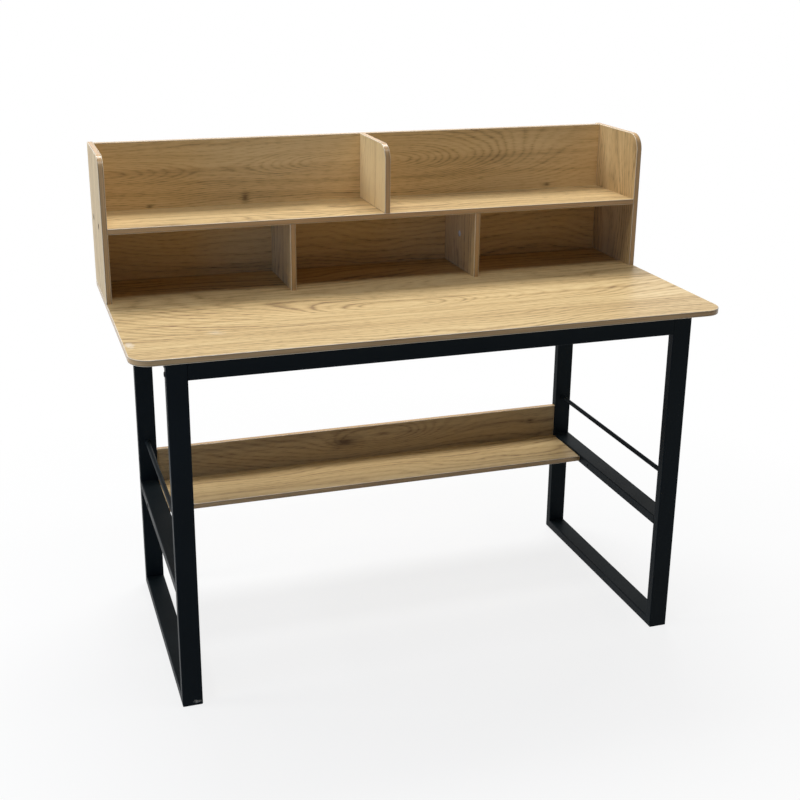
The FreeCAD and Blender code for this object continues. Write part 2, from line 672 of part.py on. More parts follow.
hutch_side_face = {"left": "-desktop_width / 2", "right": "desktop_width / 2"}
group("shelf_end_screws", shelf_screw, [
    (inward[side], hutch_side_face[side], hutch_front + " + " + y, "desk_height + " + shelf_middle)
    for side in inward for y in shelf_screw_rows])

group("upper_divider_screws", upper_screw, [
    (upward, "0", hutch_front + " + " + y, shelf_bottom) for y in upper_screw_rows])

back_head = "desktop_depth / 2 - back_inset + screw_head_height"
back_screw_spots = [(x, shelf_middle) for x in back_screw_offsets]
back_screw_spots += [(x, "lower_bay_height / 2") for x in divider_x_middle]
back_screw_spots.append(("0", "hutch_height - " + upper_bay_height + " / 2"))
group("back_panel_screws", back_screw, [
    (to_front, x, back_head, "desk_height + " + z) for x, z in back_screw_spots])

mid_rail_spots = [(rail_start + " + " + y, mid_rail_middle) for y in lower_screw_rows]
back_post_spots = [(post_rows[1], "glide_thick + " + z) for z in board_screw_levels]
inner_seat = {"left": "-" + frame_face + " + tube_wide - tube_wall - end_screw_head_height",
              "right": frame_face + " - tube_wide + tube_wall + end_screw_head_height"}
group("lower_shelf_screws", lower_screw, [
    (inward[side], inner_seat[side], y, z)
    for side in inward for y, z in mid_rail_spots + back_post_spots])

rear_head = lower_board_front + " + lower_thick + screw_head_height"
group("lower_rear_screws", rear_screw, [
    (to_front, x, rear_head, lower_bottom + " + lower_thick / 2") for x in rear_screw_offsets])

glide_x = ("-" + frame_face + " + (tube_wide - glide_width) / 2",
           frame_face + " - (tube_wide + glide_width) / 2")
glide_rows = (frame_front + " + glide_inset", back_post_front + " + tube_thin - glide_inset - glide_length")
group("floor_glides", glide, [(upward, x, y, "0") for x in glide_x for y in glide_rows])


# Every object has to be sound before anything is written
doc.recompute()
for thing in doc.Objects:
    if "Invalid" in thing.State or "Error" in thing.State:
        raise RuntimeError("%s did not build" % thing.Label)
for node in nodes:
    if node.Shape.isNull() or not node.Shape.isValid():
        raise RuntimeError("%s has no sound shape" % node.Label)

os.makedirs("parts", exist_ok=True)
for node in nodes:
    node.Shape.exportStep("parts/%s.step" % node.Label)
    print("%s: %d solids, %.0f mm3" % (node.Label, len(node.Shape.Solids), node.Shape.Volume))
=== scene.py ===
import math
import bmesh
import bpy
from mathutils import Matrix, Vector


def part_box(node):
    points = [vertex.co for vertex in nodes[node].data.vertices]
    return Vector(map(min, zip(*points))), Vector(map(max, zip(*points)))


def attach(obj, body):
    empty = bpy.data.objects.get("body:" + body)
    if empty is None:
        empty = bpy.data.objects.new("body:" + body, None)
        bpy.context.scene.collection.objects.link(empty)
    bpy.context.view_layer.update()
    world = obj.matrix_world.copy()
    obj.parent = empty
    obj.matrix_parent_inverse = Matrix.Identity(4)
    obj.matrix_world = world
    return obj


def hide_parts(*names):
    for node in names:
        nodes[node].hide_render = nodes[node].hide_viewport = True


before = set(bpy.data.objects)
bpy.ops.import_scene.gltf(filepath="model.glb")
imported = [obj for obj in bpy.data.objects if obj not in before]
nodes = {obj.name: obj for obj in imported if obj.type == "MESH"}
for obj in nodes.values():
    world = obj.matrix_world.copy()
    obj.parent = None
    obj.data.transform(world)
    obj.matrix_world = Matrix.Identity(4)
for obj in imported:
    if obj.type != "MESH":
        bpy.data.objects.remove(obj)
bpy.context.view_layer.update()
axisIndex = {"X": 0, "Y": 1, "Z": 2}
mm = 0.001
print("frame loaded:", len(nodes), "nodes")


# node tree helpers

def feed(tree, socket, value):
    # a socket takes a link from another node, or a plain value
    if isinstance(value, bpy.types.NodeSocket):
        tree.links.new(value, socket)
    else:
        socket.default_value = value


def feedAll(tree, node, values):
    for key, value in values.items():
        feed(tree, node.inputs[key], value)


def addNode(tree, kind, values=None, **settings):
    node = tree.nodes.new(kind)
    for name, value in settings.items():
        setattr(node, name, value)
    feedAll(tree, node, values or {})
    return node


def addSockets(tree, way, kinds):
    for name, kind in kinds.items():
        tree.interface.new_socket(name=name, in_out=way, socket_type="NodeSocket" + kind)


def calc(tree, operation, *values):
    return addNode(tree, "ShaderNodeMath", dict(enumerate(values)), operation=operation).outputs[0]


def addUp(tree, parts):
    # parts are pairs of a value and its share
    total = 0.0
    for part, share in parts:
        total = calc(tree, "MULTIPLY_ADD", part, share, total)
    return total


def evenNoise(tree, place, scale, detail):
    noise = addNode(tree, "ShaderNodeTexNoise", {"Vector": place, "Scale": scale, "Detail": detail})
    return noise.outputs["Fac"]


def grainNoise(tree, along, across, stretch, detail=2.0):
    # streaky noise: stretch gives the pattern's frequency along and across the grain, per metre
    spot = addNode(tree, "ShaderNodeCombineXYZ", {"X": calc(tree, "MULTIPLY", along, stretch[0]),
                                                  "Y": calc(tree, "MULTIPLY", across, stretch[1])})
    return evenNoise(tree, spot.outputs[0], 1.0, detail)


def spread(tree, value, low, high, newLow=0.0, newHigh=1.0):
    node = addNode(tree, "ShaderNodeMapRange", {"Value": value, "From Min": low, "From Max": high,
                                                "To Min": newLow, "To Max": newHigh}, clamp=True)
    return node.outputs["Result"]


def blendColor(tree, factor, first, second, mode="MIX"):
    # inputs 6 and 7 and output 2 are the colours of the Mix node
    node = addNode(tree, "ShaderNodeMix", {0: factor, 6: first, 7: second}, data_type="RGBA",
                   blend_type=mode, clamp_factor=True)
    return node.outputs[2]


def newMaterial(name):
    material = bpy.data.materials.new(name)
    material.use_nodes = True
    tree = material.node_tree
    tree.nodes.clear()
    shader = addNode(tree, "ShaderNodeBsdfPrincipled")
    addNode(tree, "ShaderNodeOutputMaterial", {"Surface": shader.outputs[0]})
    return material, tree, shader


def addBump(tree, shader, height, strength, distance):
    bump = addNode(tree, "ShaderNodeBump", {"Height": height, "Strength": strength, "Distance": distance})
    feed(tree, shader.inputs["Normal"], bump.outputs[0])


# patches of wear and painted highlights: core is the part of a patch at full strength (worn through, on a
# scuff), fade the soft part round it
wearAndHighlight = {"scale": 150.0, "detail": 5.0, "core": 0.1, "fade": 0.8}


def scuffAndHighlightMask(tree, place, scuffAndHighlight):
    # patch round a spot, for wear and for painted highlights, nothing outside it; rag says how torn its
    # outline is
    scale = [1 / part for part in scuffAndHighlight["size"]]
    shift = [-at * part for at, part in zip(scuffAndHighlight["at"], scale)]
    near = addNode(tree, "ShaderNodeMapping", {"Vector": place, "Location": shift, "Scale": scale})
    away = addNode(tree, "ShaderNodeVectorMath", {0: near.outputs[0]}, operation="LENGTH").outputs["Value"]
    noise = evenNoise(tree, place, wearAndHighlight["scale"], wearAndHighlight["detail"])
    torn = calc(tree, "MULTIPLY_ADD", noise, scuffAndHighlight["rag"], away)
    full = 0.5 * scuffAndHighlight["rag"] - wearAndHighlight["core"]    # the noise itself lies round a half
    return spread(tree, torn, full, full + wearAndHighlight["fade"], scuffAndHighlight["strength"], 0.0)


# printed oak foil: growth rings as contour lines, in one group that every board shares
oakFoil = {
    "tones": (
        (0.0, (0.83, 0.64, 0.342, 1.0)),
        (0.45, (0.625, 0.44, 0.208, 1.0)),
        (1.0, (0.24, 0.145, 0.065, 1.0)),
    ),
    # on some boards the middle is set to paint light and shade onto the board
    "middle": 0.42,    # mean tone; a board's own middle makes it darker or lighter
    # knot colour, also used for painted shade round the screw recesses in the hutch sides
    "knotAndShade": (0.10, 0.05, 0.022, 1.0),
    # pale colour of the patches on the desktop, one of them a painted highlight
    "scuffAndHighlight": (0.97, 0.94, 0.87, 1.0),
    "ringsAcross": 62.0,    # per metre, before the bends
    "bends": ((14.0, (2.2, 6.0)), (0.8, (15.0, 30.0))),    # rings pushed aside, and the noise that does it
    "ringChange": 0.45,
    "feather": 0.35,
    "lineWidth": 2.0,
    "bands": (0.8, 16.0),
    "streaks": (1.7, 60.0),
    "pores": (46.0, 380.0),
    "fibres": (8.0, 300.0),
    # the part of each noise that counts, and what its ends become where that isn't 0 and 1
    "range": {"bands": (0.32, 0.68), "streaks": (0.46, 0.74), "pores": (0.50, 0.66),
              "broken": (0.36, 0.62, 0.55, 1.0), "fade": (0.36, 0.6, 0.45, 1.0),
              "year": (0.38, 0.62, 0.4, 1.0), "knotsAndShade": (0.46, 1.25, 0.0, 0.95), "gloss": (0.1, 0.9)},
    "share": {"base": 0.03, "lines": 0.52, "year": 0.10, "bands": 0.20, "streaks": 0.30, "pores": 0.16,
              "fibres": 0.10},
    "knotAndShadeShare": {"hill": 1.0, "fibres": 0.5, "pores": 0.1},
    "reliefShare": {"pores": 0.7, "fibres": 0.3},
    "bump": (0.12, 0.0002),
    "roughness": (0.36, 0.5),
    "specular": 0.24,
}
markNames = ("Mark A", "Mark B", "Mark C", "Mark D", "Mark E")
noMark = (9.0, 9.0, 0.0, 0.001, 0.001, 0.0)    # far off the board


def buildOakGroup():
    foil = oakFoil
    ranges = foil["range"]
    group = bpy.data.node_groups.new("oakFigure", "ShaderNodeTree")
    for name in ("Along", "Across", "Fine Along", "Fine Across", "Contrast", "Middle"):
        addSockets(group, "INPUT", {name: "Float"})
    for name in markNames:
        addSockets(group, "INPUT", {name + " Place": "Vector", name + " Shape": "Vector"})
    addSockets(group, "OUTPUT", {"Color": "Color", "Roughness": "Float", "Height": "Float"})
    entry = addNode(group, "NodeGroupInput").outputs
    along = entry["Along"]
    across = entry["Across"]
    fine = (entry["Fine Along"], entry["Fine Across"])
    fibres = grainNoise(group, *fine, foil["fibres"])
    pores = spread(group, grainNoise(group, *fine, foil["pores"]), *ranges["pores"])

    # rings: straight lines bent by slow noise, feathered by the fibres
    rings = addUp(group, [(across, foil["ringsAcross"]), (fibres, foil["feather"])])
    for amount, stretch in foil["bends"]:
        bend = grainNoise(group, along, across, stretch, detail=1.0)
        rings = calc(group, "MULTIPLY_ADD", bend, amount, rings)
    # marks: soft hills that push the rings into flames; a dark one is a knot, and on the hutch sides dark
    # ones are painted shade round the screw recesses
    knotsAndShade = 0.0
    for name in markNames:
        place = addNode(group, "ShaderNodeSeparateXYZ", {0: entry[name + " Place"]}).outputs
        shape = addNode(group, "ShaderNodeSeparateXYZ", {0: entry[name + " Shape"]}).outputs
        long = calc(group, "DIVIDE", calc(group, "SUBTRACT", along, place[0]), shape[0])
        wide = calc(group, "DIVIDE", calc(group, "SUBTRACT", across, place[1]), shape[1])
        away = calc(group, "MULTIPLY_ADD", long, long, calc(group, "MULTIPLY_ADD", wide, wide, 1.0))
        hill = calc(group, "DIVIDE", 1.0, away)
        rings = calc(group, "MULTIPLY_ADD", hill, shape[2], rings)
        knotsAndShade = calc(group, "MAXIMUM", knotsAndShade, calc(group, "MULTIPLY", hill, place[2]))
    waves = calc(group, "MULTIPLY", calc(group, "PINGPONG", rings, 0.5), 2.0)
    lines = calc(group, "POWER", waves, foil["lineWidth"])
    broken = spread(group, grainNoise(group, *fine, foil["pores"], detail=1.0), *ranges["broken"])
    fade = spread(group, grainNoise(group, along, across, foil["bends"][0][1]), *ranges["fade"])
    # rings differ: some years dark, some hardly there
    change = grainNoise(group, rings, 0.0, (foil["ringChange"], 1.0), detail=1.0)
    year = spread(group, change, *ranges["year"])
    for part in (broken, fade, year):
        lines = calc(group, "MULTIPLY", lines, part)

    bands = spread(group, grainNoise(group, along, across, foil["bands"]), *ranges["bands"])
    streaks = spread(group, grainNoise(group, *fine, foil["streaks"], detail=3.0), *ranges["streaks"])
    parts = {"base": 1.0, "lines": lines, "year": year, "bands": bands, "streaks": streaks, "pores": pores,
             "fibres": fibres}
    tone = addUp(group, [(part, foil["share"][key]) for key, part in parts.items()])
    tone = calc(group, "MULTIPLY_ADD", calc(group, "SUBTRACT", tone, foil["middle"]), entry["Contrast"],
                entry["Middle"])
    ramp = addNode(group, "ShaderNodeValToRGB", {0: tone})
    while len(ramp.color_ramp.elements) < len(foil["tones"]):
        ramp.color_ramp.elements.new(1.0)
    for stop, (position, color) in zip(ramp.color_ramp.elements, foil["tones"]):
        stop.position = position
        stop.color = color
    knotAndShadeParts = {"hill": knotsAndShade, "fibres": fibres, "pores": pores}
    knotsAndShade = addUp(group, [(part, foil["knotAndShadeShare"][key]) for key, part in knotAndShadeParts.items()])
    color = blendColor(group, spread(group, knotsAndShade, *ranges["knotsAndShade"]), ramp.outputs[0], foil["knotAndShade"])

    roughness = spread(group, tone, *ranges["gloss"], *foil["roughness"])
    relief = addUp(group, [(pores, foil["reliefShare"]["pores"]), (fibres, foil["reliefShare"]["fibres"])])
    height = calc(group, "SUBTRACT", 1.0, relief)
    addNode(group, "NodeGroupOutput", {"Color": color, "Roughness": roughness, "Height": height})
    return group


oakGroup = buildOakGroup()


def oakMaterial(name, board):
    # grain and across are the axes of the board's face, shift moves the print on it
    material, tree, shader = newMaterial(name)
    place = addNode(tree, "ShaderNodeTexCoord").outputs["Object"]
    split = addNode(tree, "ShaderNodeSeparateXYZ", {0: place}).outputs
    figure = addNode(tree, "ShaderNodeGroup", node_tree=oakGroup)
    shift = board["shift"]
    scale = board.get("scale", 1.0)
    for socket, axis, start in (("Along", board["grain"], shift[0]), ("Across", board["across"], shift[1])):
        run = split[axisIndex[axis]]
        feed(tree, figure.inputs[socket], calc(tree, "MULTIPLY_ADD", run, scale, start))
        feed(tree, figure.inputs["Fine " + socket], calc(tree, "ADD", run, start))
    figure.inputs["Contrast"].default_value = board.get("contrast", 1.0)
    figure.inputs["Middle"].default_value = board.get("middle", oakFoil["middle"])
    # each mark: place along and across, darkness, half length, half width, rings it pushes
    marks = list(board.get("marks", ()))
    for key, mark in zip(markNames, marks + [noMark] * len(markNames)):
        spot = (mark[0] * scale + shift[0], mark[1] * scale + shift[1], mark[2])
        figure.inputs[key + " Place"].default_value = spot
        figure.inputs[key + " Shape"].default_value = (mark[3] * scale, mark[4] * scale, mark[5])
    # painted light and shade: how much paler or darker this board's sheet of foil is made, to stand for how
    # brightly the board is lit
    paintedLightGain = board.get("paintedLightGain", 1.0)
    color = blendColor(tree, 1.0, figure.outputs["Color"], (paintedLightGain, paintedLightGain, paintedLightGain, 1.0), "MULTIPLY")
    # pale patches, only on the desktop: a painted highlight at its left edge and a fainter pale streak
    for scuffAndHighlight in board.get("palePatches", ()):
        color = blendColor(tree, scuffAndHighlightMask(tree, place, scuffAndHighlight), color, oakFoil["scuffAndHighlight"])
    feedAll(tree, shader, {"Base Color": color, "Roughness": figure.outputs["Roughness"],
                           "Specular IOR Level": oakFoil["specular"]})
    addBump(tree, shader, figure.outputs["Height"], *oakFoil["bump"])
    return material


# edge band: plain streaks that run along the strip, on the band's own UV map
bandPrint = {"streaks": (7.0, 420.0), "bands": (3.0, 40.0), "range": (0.3, 0.7), "streakShare": 0.6,
             "bandShare": 0.4, "halfWidth": 6 * mm, "edgeDarkLine": (3.2 * mm, 4.4 * mm), "bump": (0.1, 0.0002)}
edgeBand = {"light": (0.75, 0.475, 0.215, 1.0), "dark": (0.41, 0.235, 0.093, 1.0), "roughness": 0.25,
            "specular": 0.36, "line": 0.45}
# the trimmed edge is much paler than the band: partly its own trimmed colour, partly a painted highlight
# along each rim
trimmedEdgeHighlight = {"light": (0.90, 0.76, 0.53, 1.0), "dark": (0.70, 0.53, 0.33, 1.0), "roughness": 0.25,
               "specular": 0.5, "line": 1.0}


def bandMaterial(name, look):
    material, tree, shader = newMaterial(name)
    place = addNode(tree, "ShaderNodeUVMap", uv_map="band").outputs[0]
    split = addNode(tree, "ShaderNodeSeparateXYZ", {0: place}).outputs
    streaks = grainNoise(tree, split[0], split[1], bandPrint["streaks"], detail=3.0)
    streaks = spread(tree, streaks, *bandPrint["range"])
    bands = spread(tree, grainNoise(tree, split[0], split[1], bandPrint["bands"]), *bandPrint["range"])
    tone = addUp(tree, [(streaks, bandPrint["streakShare"]), (bands, bandPrint["bandShare"])])
    color = blendColor(tree, tone, look["light"], look["dark"])
    # darker line along each side of the band, just inside the trimmed edge
    aside = calc(tree, "ABSOLUTE", calc(tree, "SUBTRACT", split[1], bandPrint["halfWidth"]))
    line = spread(tree, aside, *bandPrint["edgeDarkLine"], 1.0, look["line"])
    shade = addNode(tree, "ShaderNodeCombineColor", {0: line, 1: line, 2: line}).outputs[0]
    feedAll(tree, shader, {"Base Color": blendColor(tree, 1.0, color, shade, "MULTIPLY"),
                           "Roughness": look["roughness"], "Specular IOR Level": look["specular"]})
    addBump(tree, shader, streaks, *bandPrint["bump"])
    return material


bandOak = bandMaterial("oakEdgeBand", edgeBand)
trimOakHighlight = bandMaterial("oakTrimmedEdgeHighlight", trimmedEdgeHighlight)


# black powder coat, with the one scuff at the foot of the front left post
powderCoat = {
    "color": (0.0066, 0.0101, 0.0122, 1.0), "pale": (0.0104, 0.0144, 0.0166, 1.0),
    "cloud": 7.0, "colorRange": (0.35, 0.7), "glossRange": (0.3, 0.7),
    "roughness": (0.38, 0.52), "specular": 0.045,
    "peel": 620.0, "peelShare": 0.8, "grit": 2600.0, "gritShare": 0.2, "bump": (0.14, 0.0004),
    "scuffAndHighlight": {"at": (-0.5085, -0.278, 0.0105), "size": (0.011, 0.004, 0.006), "rag": 3.2, "strength": 0.9,
              "color": (0.62, 0.54, 0.43, 1.0)},
}


def coatMaterial(name, scuffed):
    coat = powderCoat
    material, tree, shader = newMaterial(name)
    place = addNode(tree, "ShaderNodeTexCoord").outputs["Object"]
    peel = evenNoise(tree, place, coat["peel"], detail=1.0)
    grit = evenNoise(tree, place, coat["grit"], detail=1.0)
    cloud = evenNoise(tree, place, coat["cloud"], detail=3.0)
    color = blendColor(tree, spread(tree, cloud, *coat["colorRange"]), coat["color"], coat["pale"])
    if scuffed:
        color = blendColor(tree, scuffAndHighlightMask(tree, place, coat["scuffAndHighlight"]), color, coat["scuffAndHighlight"]["color"])
    roughness = spread(tree, cloud, *coat["glossRange"], *coat["roughness"])
    feedAll(tree, shader, {"Base Color": color, "Roughness": roughness,
                           "Specular IOR Level": coat["specular"]})
    height = addUp(tree, [(peel, coat["peelShare"]), (grit, coat["gritShare"])])
    addBump(tree, shader, height, *coat["bump"])
    return material


coatBlack = coatMaterial("blackPowderCoat", False)
coatScuffed = coatMaterial("blackPowderCoatScuffed", True)


# fasteners, dowels, glides and the raw board inside a hole, painted dark there as shade: all finely speckled
speckPrint = {"detail": 3.0, "range": (0.3, 0.7), "bump": (0.08, 0.0002)}
speckLooks = {
    "blackOxide": {"dark": (0.007, 0.008, 0.009, 1.0), "light": (0.018, 0.019, 0.02, 1.0), "metallic": 0.0,
                   "specular": 0.16, "roughness": (0.36, 0.5), "scale": 900.0},
    # the barrel nut's face is near white and not metallic: a painted highlight in place of grey zinc
    "nutFaceHighlight": {"dark": (0.92, 0.92, 0.93, 1.0), "light": (0.98, 0.98, 0.99, 1.0), "metallic": 0.0,
                "specular": 0.7, "roughness": (0.3, 0.44), "scale": 700.0},
    "zincPlate": {"dark": (0.72, 0.71, 0.72, 1.0), "light": (0.88, 0.87, 0.88, 1.0), "metallic": 0.45,
                  "specular": 0.6, "roughness": (0.3, 0.44), "scale": 700.0},
    "glidePlastic": {"dark": (0.012, 0.012, 0.012, 1.0), "light": (0.024, 0.024, 0.025, 1.0), "metallic": 0.0,
                     "specular": 0.2, "roughness": (0.55, 0.7), "scale": 1400.0},
    # raw chipboard made near black: painted shade on the walls of the recesses
    "shadedChipboard": {"dark": (0.012, 0.008, 0.005, 1.0), "light": (0.045, 0.03, 0.018, 1.0), "metallic": 0.0,
                     "specular": 0.1, "roughness": (0.7, 0.9), "scale": 1600.0},
    "beechDowel": {"dark": (0.44, 0.28, 0.15, 1.0), "light": (0.68, 0.49, 0.30, 1.0), "metallic": 0.0,
                   "specular": 0.2, "roughness": (0.5, 0.65), "scale": 500.0},
}


def speckMaterial(name):
    look = speckLooks[name]
    material, tree, shader = newMaterial(name)
    place = addNode(tree, "ShaderNodeTexCoord").outputs["Object"]
    speck = evenNoise(tree, place, look["scale"], speckPrint["detail"])
    tone = spread(tree, speck, *speckPrint["range"])
    feedAll(tree, shader, {"Base Color": blendColor(tree, tone, look["dark"], look["light"]),
                           "Roughness": spread(tree, speck, *speckPrint["range"], *look["roughness"]),
                           "Metallic": look["metallic"], "Specular IOR Level": look["specular"]})
    addBump(tree, shader, speck, *speckPrint["bump"])
    return material


oxide = speckMaterial("blackOxide")
zinc = speckMaterial("zincPlate")
nutFaceHighlight = speckMaterial("nutFaceHighlight")
glidePlastic = speckMaterial("glidePlastic")
beech = speckMaterial("beechDowel")
holeShade = speckMaterial("shadedChipboard")
print("materials ready:", len(bpy.data.materials))


# mesh helpers

def addObject(name, data):
    thing = bpy.data.objects.new(name, data)
    bpy.context.scene.collection.objects.link(thing)
    return thing


def addPiece(name, mesh):
    piece = addObject(name, mesh)
    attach(piece, "root")
    return piece


def paint(nodeName, material):
    mesh = nodes[nodeName].data
    mesh.materials.clear()
    mesh.materials.append(material)


def toMesh(shape, name):
    mesh = bpy.data.meshes.new(name)
    shape.to_mesh(mesh)
    shape.free()
    return mesh


def smooth(mesh, sharpAbove):
    mesh.polygons.foreach_set("use_smooth", [True] * len(mesh.polygons))
    mesh.set_sharp_from_angle(angle=sharpAbove)


def plainMesh(thing):
    # the object's mesh with its modifiers worked in
    return bpy.data.meshes.new_from_object(thing.evaluated_get(bpy.context.evaluated_depsgraph_get()))


def roundedOutline(low, high, radii, steps):
    # corners run anticlockwise from the low one; each has its own radius
    centres = [(low[0], low[1], 1, 1), (high[0], low[1], -1, 1),
               (high[0], high[1], -1, -1), (low[0], high[1], 1, -1)]
    points = []
    for corner, (x, y, inX, inY) in enumerate(centres):
        radius = radii[corner]
        if radius == 0:
            points.append((x, y))
            continue
        start = math.pi + corner * math.pi / 2
        for step in range(steps + 1):
            turn = start + step * math.pi / 2 / steps
            points.append((x + inX * radius + radius * math.cos(turn),
                           y + inY * radius + radius * math.sin(turn)))
    return points


boardFinish = {"bevel": 1.3 * mm, "bevelSteps": 3, "cornerSteps": 20, "holeSides": 40,
               "sharpAbove": math.radians(9)}
boardSlots = {"band": 1, "trim": 2, "rawShaded": 3}    # places in a board's list of materials; the oak is first


def cutHoles(piece, holes, thin):
    # round recesses: each is (centre on the face, radius, depth), drilled in along the thin axis
    drill = bmesh.new()
    axis = Vector([float(name == thin) for name in axisIndex])
    turn = Vector((0, 0, 1)).rotation_difference(axis).to_matrix().to_4x4()
    for centre, radius, depth in holes:
        bmesh.ops.create_cone(drill, cap_ends=True, segments=boardFinish["holeSides"], radius1=radius,
                              radius2=radius, depth=2 * depth, matrix=Matrix.Translation(centre) @ turn)
    # the recess walls get the dark chipboard: painted shade inside each recess
    for face in drill.faces:
        face.material_index = boardSlots["rawShaded"]
    mesh = toMesh(drill, "drill")
    for material in piece.data.materials:
        mesh.materials.append(material)
    cutter = addObject("drill", mesh)
    change = piece.modifiers.new("holes", "BOOLEAN")
    change.operation = "DIFFERENCE"
    change.object = cutter
    change.solver = "EXACT"
    result = plainMesh(piece)
    piece.modifiers.remove(change)
    piece.data = result
    bpy.data.objects.remove(cutter)


def makeBoard(board):
    # a laminated board: printed faces, a band round the edge, and the trimmed line where the two meet, paler
    # partly as a painted highlight
    low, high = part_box(board["node"])
    thin = axisIndex[board["thin"]]
    first, second = [axis for axis in range(3) if axis != thin]
    outline = roundedOutline((low[first], low[second]), (high[first], high[second]),
                             board.get("corners", (0, 0, 0, 0)), boardFinish["cornerSteps"])

    def spot(point, level):
        place = [0.0, 0.0, 0.0]
        place[first], place[second], place[thin] = point[0], point[1], level
        return place

    shape = bmesh.new()
    band = shape.loops.layers.uv.new("band")
    under = [shape.verts.new(spot(point, low[thin])) for point in outline]
    over = [shape.verts.new(spot(point, high[thin])) for point in outline]
    shape.faces.new(list(reversed(under)))
    shape.faces.new(over)
    count = len(outline)
    travelled = 0.0
    rims = []
    for here in range(count):
        ahead = (here + 1) % count
        face = shape.faces.new((under[here], under[ahead], over[ahead], over[here]))
        face.material_index = boardSlots["band"]
        length = (over[ahead].co - over[here].co).length
        corners = ((travelled, 0), (travelled + length, 0), (travelled + length, 1), (travelled, 1))
        for loop, (run, side) in zip(face.loops, corners):
            loop[band].uv = (run, side * (high[thin] - low[thin]))
        travelled += length
        rims += [shape.edges.get((under[here], under[ahead])), shape.edges.get((over[here], over[ahead]))]
    bmesh.ops.recalc_face_normals(shape, faces=shape.faces)
    bmesh.ops.bevel(shape, geom=rims, offset=boardFinish["bevel"], segments=boardFinish["bevelSteps"],
                    profile=0.5, affect="EDGES", material=boardSlots["trim"], loop_slide=True,
                    clamp_overlap=True)
    name = board["node"] + "_board"
    mesh = toMesh(shape, name)
    for material in (oakMaterial(board["node"] + "_oak", board), bandOak, trimOakHighlight, holeShade):
        mesh.materials.append(material)
    piece = addPiece(name, mesh)
    if "holes" in board:
        cutHoles(piece, board["holes"], board["thin"])
    smooth(piece.data, boardFinish["sharpAbove"])
    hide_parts(board["node"])


def centreOf(node):
    low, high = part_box(node)
    return [(a + b) / 2 for a, b in zip(low, high)]


# desktop, grain from side to side, both front corners round
desktopBoard = {"node": "desktop", "thin": "Z", "grain": "X", "across": "Y", "shift": (0.92, 0.52),
                "corners": (0.04, 0.04, 0, 0), "scale": 0.8, "contrast": 1.45,
                "marks": ((-0.02, -0.09, 0.0, 0.33, 0.09, 18.0),),
                # pale patches: the first is a painted highlight at the left edge, the second a fainter pale
                # streak
                "palePatches": ({"at": (-0.589, -0.200, 0.73), "size": (0.014, 0.030, 0.01), "rag": 1.3,
                            "strength": 0.6},
                           {"at": (-0.424, -0.166, 0.73), "size": (0.028, 0.03, 0.01), "rag": 1.3,
                            "strength": 0.2})}
makeBoard(desktopBoard)

# hutch sides: recesses for the screws that hold the shelf, with painted shade darkening the foil round each
# the right side's middle and gain paint light and shade onto it
hutchSides = {"left": {"shift": (0.2, 0.31), "middle": 0.5},
              "right": {"shift": (0.66, 0.87), "middle": 0.57, "paintedLightGain": 1.07}}
screwRecess = {"radius": 6 * mm, "depth": 3.2 * mm, "places": (0.150, 0.250), "level": 0.879,
               "shadeReach": 6.5 * mm}
for side, sheet in hutchSides.items():
    low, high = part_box("hutch_%s_side" % side)
    outside = low[0] if side == "left" else high[0]
    recesses = [((outside, y, screwRecess["level"]), screwRecess["radius"], screwRecess["depth"])
                for y in screwRecess["places"]]
    # painted shade: dark rings on the foil round each recess, in the knot colour
    shadeRings = [(screwRecess["level"], y, 1.0, screwRecess["shadeReach"], screwRecess["shadeReach"], 0.0)
              for y in screwRecess["places"]]
    makeBoard({"node": "hutch_%s_side" % side, "thin": "X", "grain": "Z", "across": "Y",
               "corners": (0, 0, 0, 0.035), "holes": recesses, "marks": shadeRings, **sheet})

# long shelf, and the divider that stands on it
shelfBoard = {"node": "hutch_shelf", "thin": "Z", "grain": "X", "across": "Y", "shift": (0.37, 1.23),
              "middle": 0.5, "contrast": 1.3}
makeBoard(shelfBoard)
# its middle and gain make this board paler: painted light on the divider's faces
upperDividerBoard = {"node": "hutch_upper_divider", "thin": "X", "grain": "Z", "across": "Y",
                     "shift": (1.4, 0.53), "middle": 0.05, "paintedLightGain": 1.08, "corners": (0, 0, 0, 0.035)}
makeBoard(upperDividerBoard)

# lower dividers: a hole for the barrel nut in the face towards the middle bay
# their gain makes both boards paler: painted light in the shaded bays
lowerDividers = {"left": {"shift": (2.1, 0.23), "paintedLightGain": 1.2}, "right": {"shift": (2.9, 0.71), "paintedLightGain": 1.2}}
nutHole = {"radius": 7.15 * mm, "depth": 10 * mm}
nutMiddle = centreOf("barrel_nuts")
for side, sheet in lowerDividers.items():
    low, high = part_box("hutch_%s_divider" % side)
    inside = high[0] if side == "left" else low[0]
    hole = ((inside, nutMiddle[1], nutMiddle[2]), nutHole["radius"], nutHole["depth"])
    makeBoard({"node": "hutch_%s_divider" % side, "thin": "X", "grain": "Z", "across": "Y",
               "holes": [hole], **sheet})

# back panel: two long flames, and the three knots that show above the shelf
# its gain makes the panel paler: painted light
backBoard = {"node": "hutch_back_panel", "thin": "Y", "grain": "X", "across": "Z", "shift": (0.506, -0.97),
             "paintedLightGain": 1.18, "contrast": 0.88,
             "marks": ((-0.62, 0.961, 0.0, 0.25, 0.038, 19.0), (-0.01, 0.968, 0.0, 0.28, 0.043, 23.0),
                       (-0.270, 0.899, 0.85, 0.008, 0.012, 1.2), (0.457, 0.893, 0.85, 0.007, 0.004, 0.8),
                       (-0.479, 0.890, 0.8, 0.007, 0.004, 0.8))}
makeBoard(backBoard)

# lower shelf and the board behind it, which has a broad knot and a small one
# its gain makes the lower shelf darker: painted shade under the desktop
lowerShelfBoard = {"node": "lower_shelf", "thin": "Z", "grain": "X", "across": "Y", "shift": (0.77, 0.66),
                   "paintedLightGain": 0.81, "contrast": 1.05}
makeBoard(lowerShelfBoard)
